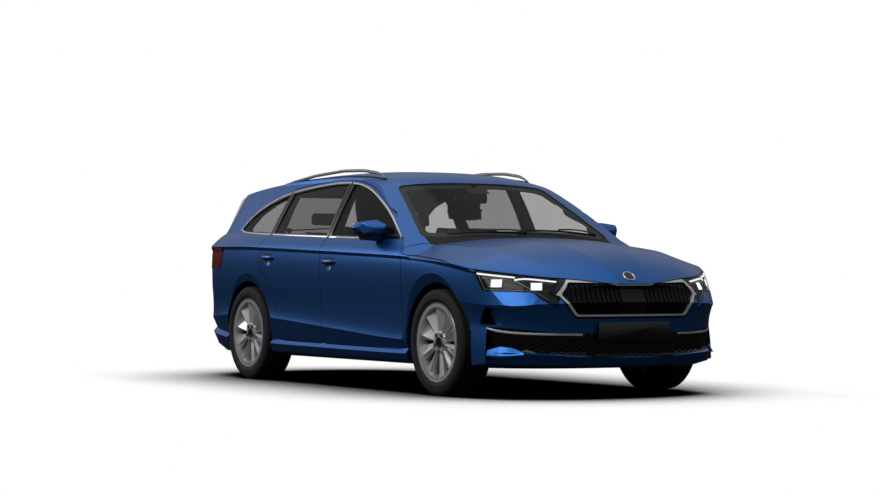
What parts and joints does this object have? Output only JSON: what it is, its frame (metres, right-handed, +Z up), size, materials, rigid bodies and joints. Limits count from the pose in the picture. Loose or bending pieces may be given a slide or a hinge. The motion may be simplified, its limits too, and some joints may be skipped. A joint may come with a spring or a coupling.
{
  "type": "station wagon",
  "caption": "Five-door station wagon with opening doors, bonnet and tailgate, steered front wheels and a hollow furnished cabin.",
  "frame": {"origin": "on the ground under the middle of the car's box", "axes": "+X forward, +Y to the car's left, +Z up"},
  "size_m": [4.6861, 2.0456, 1.4734],
  "materials": {
    "body_paint": "metallic blue, clear-coated",
    "grille_black": "gloss black",
    "underbody": "matt dark grey",
    "lamp_clear": "clear",
    "lamp_red": "transparent red",
    "chassis_steel": "dark coated steel",
    "seat_cloth": "black woven cloth",
    "cabin_plastic": "black soft-touch",
    "engine_iron": "cast",
    "rail_silver": "satin anodised",
    "clear_glass": "lightly tinted",
    "dark_glass": "dark tinted",
    "tyre_rubber": "moulded rubber",
    "bright_trim": "polished",
    "alloy": "silver painted"
  },
  "bodies": {
    "root": {"body_side_left": "body_paint", "body_side_right": "body_paint", "dashboard": "cabin_plastic", "engine_block": "engine_iron", "fender_left": "body_paint", "fender_right": "body_paint", "fixed_glass": "clear_glass", "floor": "underbody", "front_bumper": "body_paint", "front_seats": "seat_cloth", "front_subframe": "chassis_steel", "grille": "grille_black", "grille_frame": "bright_trim", "headlamps": "lamp_clear", "inner_wings": "underbody", "rear_axle": "chassis_steel", "rear_bench": "seat_cloth", "rear_bumper": "body_paint", "roof": "body_paint", "roof_rails": "rail_silver", "steering_wheel": "cabin_plastic", "tail_lamps": "lamp_red"},
    "knuckle_right": {"knuckle_right": "chassis_steel"},
    "wheel_front_right": {"tyre_front_right": "tyre_rubber", "rim_front_right": "alloy"},
    "door_front_right": {"door_front_right": "body_paint", "window_front_right": "clear_glass", "mirror_right": "body_paint"},
    "wheel_rear_right": {"tyre_rear_right": "tyre_rubber", "rim_rear_right": "alloy"},
    "door_rear_right": {"door_rear_right": "body_paint", "window_rear_right": "dark_glass"},
    "knuckle_left": {"knuckle_left": "chassis_steel"},
    "wheel_front_left": {"tyre_front_left": "tyre_rubber", "rim_front_left": "alloy"},
    "door_front_left": {"door_front_left": "body_paint", "window_front_left": "clear_glass", "mirror_left": "body_paint"},
    "wheel_rear_left": {"tyre_rear_left": "tyre_rubber", "rim_rear_left": "alloy"},
    "door_rear_left": {"door_rear_left": "body_paint", "window_rear_left": "dark_glass"},
    "bonnet": {"bonnet": "body_paint"},
    "tailgate": {"tailgate": "body_paint", "tailgate_window": "dark_glass"}
  },
  "joints": [
    {"name": "steer_right", "type": "hinge", "parent": "root", "child": "knuckle_right", "pos_m": [1.464, -0.745, 0.33], "axis": [0, 0, 1], "range_deg": [-35, 35]},
    {"name": "spin_front_right", "type": "hinge", "parent": "knuckle_right", "child": "wheel_front_right", "pos_m": [1.464, -0.772, 0.33], "axis": [0, 1, 0], "continuous": true},
    {"name": "spin_rear_right", "type": "hinge", "parent": "root", "child": "wheel_rear_right", "pos_m": [-1.222, -0.772, 0.33], "axis": [0, 1, 0], "continuous": true},
    {"name": "open_door_front_right", "type": "hinge", "parent": "root", "child": "door_front_right", "pos_m": [1.005, -0.901, 0.6], "axis": [0, 0, 1], "range_deg": [0, 68]},
    {"name": "open_door_rear_right", "type": "hinge", "parent": "root", "child": "door_rear_right", "pos_m": [-0.1075, -0.901, 0.6], "axis": [0, 0, 1], "range_deg": [0, 70]},
    {"name": "steer_left", "type": "hinge", "parent": "root", "child": "knuckle_left", "pos_m": [1.464, 0.745, 0.33], "axis": [0, 0, 1], "range_deg": [-35, 35]},
    {"name": "spin_front_left", "type": "hinge", "parent": "knuckle_left", "child": "wheel_front_left", "pos_m": [1.464, 0.772, 0.33], "axis": [0, 1, 0], "continuous": true},
    {"name": "spin_rear_left", "type": "hinge", "parent": "root", "child": "wheel_rear_left", "pos_m": [-1.222, 0.772, 0.33], "axis": [0, 1, 0], "continuous": true},
    {"name": "open_door_front_left", "type": "hinge", "parent": "root", "child": "door_front_left", "pos_m": [1.005, 0.901, 0.6], "axis": [0, 0, -1], "range_deg": [0, 68]},
    {"name": "open_door_rear_left", "type": "hinge", "parent": "root", "child": "door_rear_left", "pos_m": [-0.1075, 0.901, 0.6], "axis": [0, 0, -1], "range_deg": [0, 70]},
    {"name": "open_bonnet", "type": "hinge", "parent": "root", "child": "bonnet", "pos_m": [1, 0, 0.925], "axis": [0, -1, 0], "range_deg": [0, 45]},
    {"name": "open_tailgate", "type": "hinge", "parent": "root", "child": "tailgate", "pos_m": [-1.975, 0, 1.385], "axis": [0, 1, 0], "range_deg": [0, 80]}
  ],
  "couplings": [
    {"joint": "steer_left", "follows": "steer_right", "ratio": 1}
  ]
}
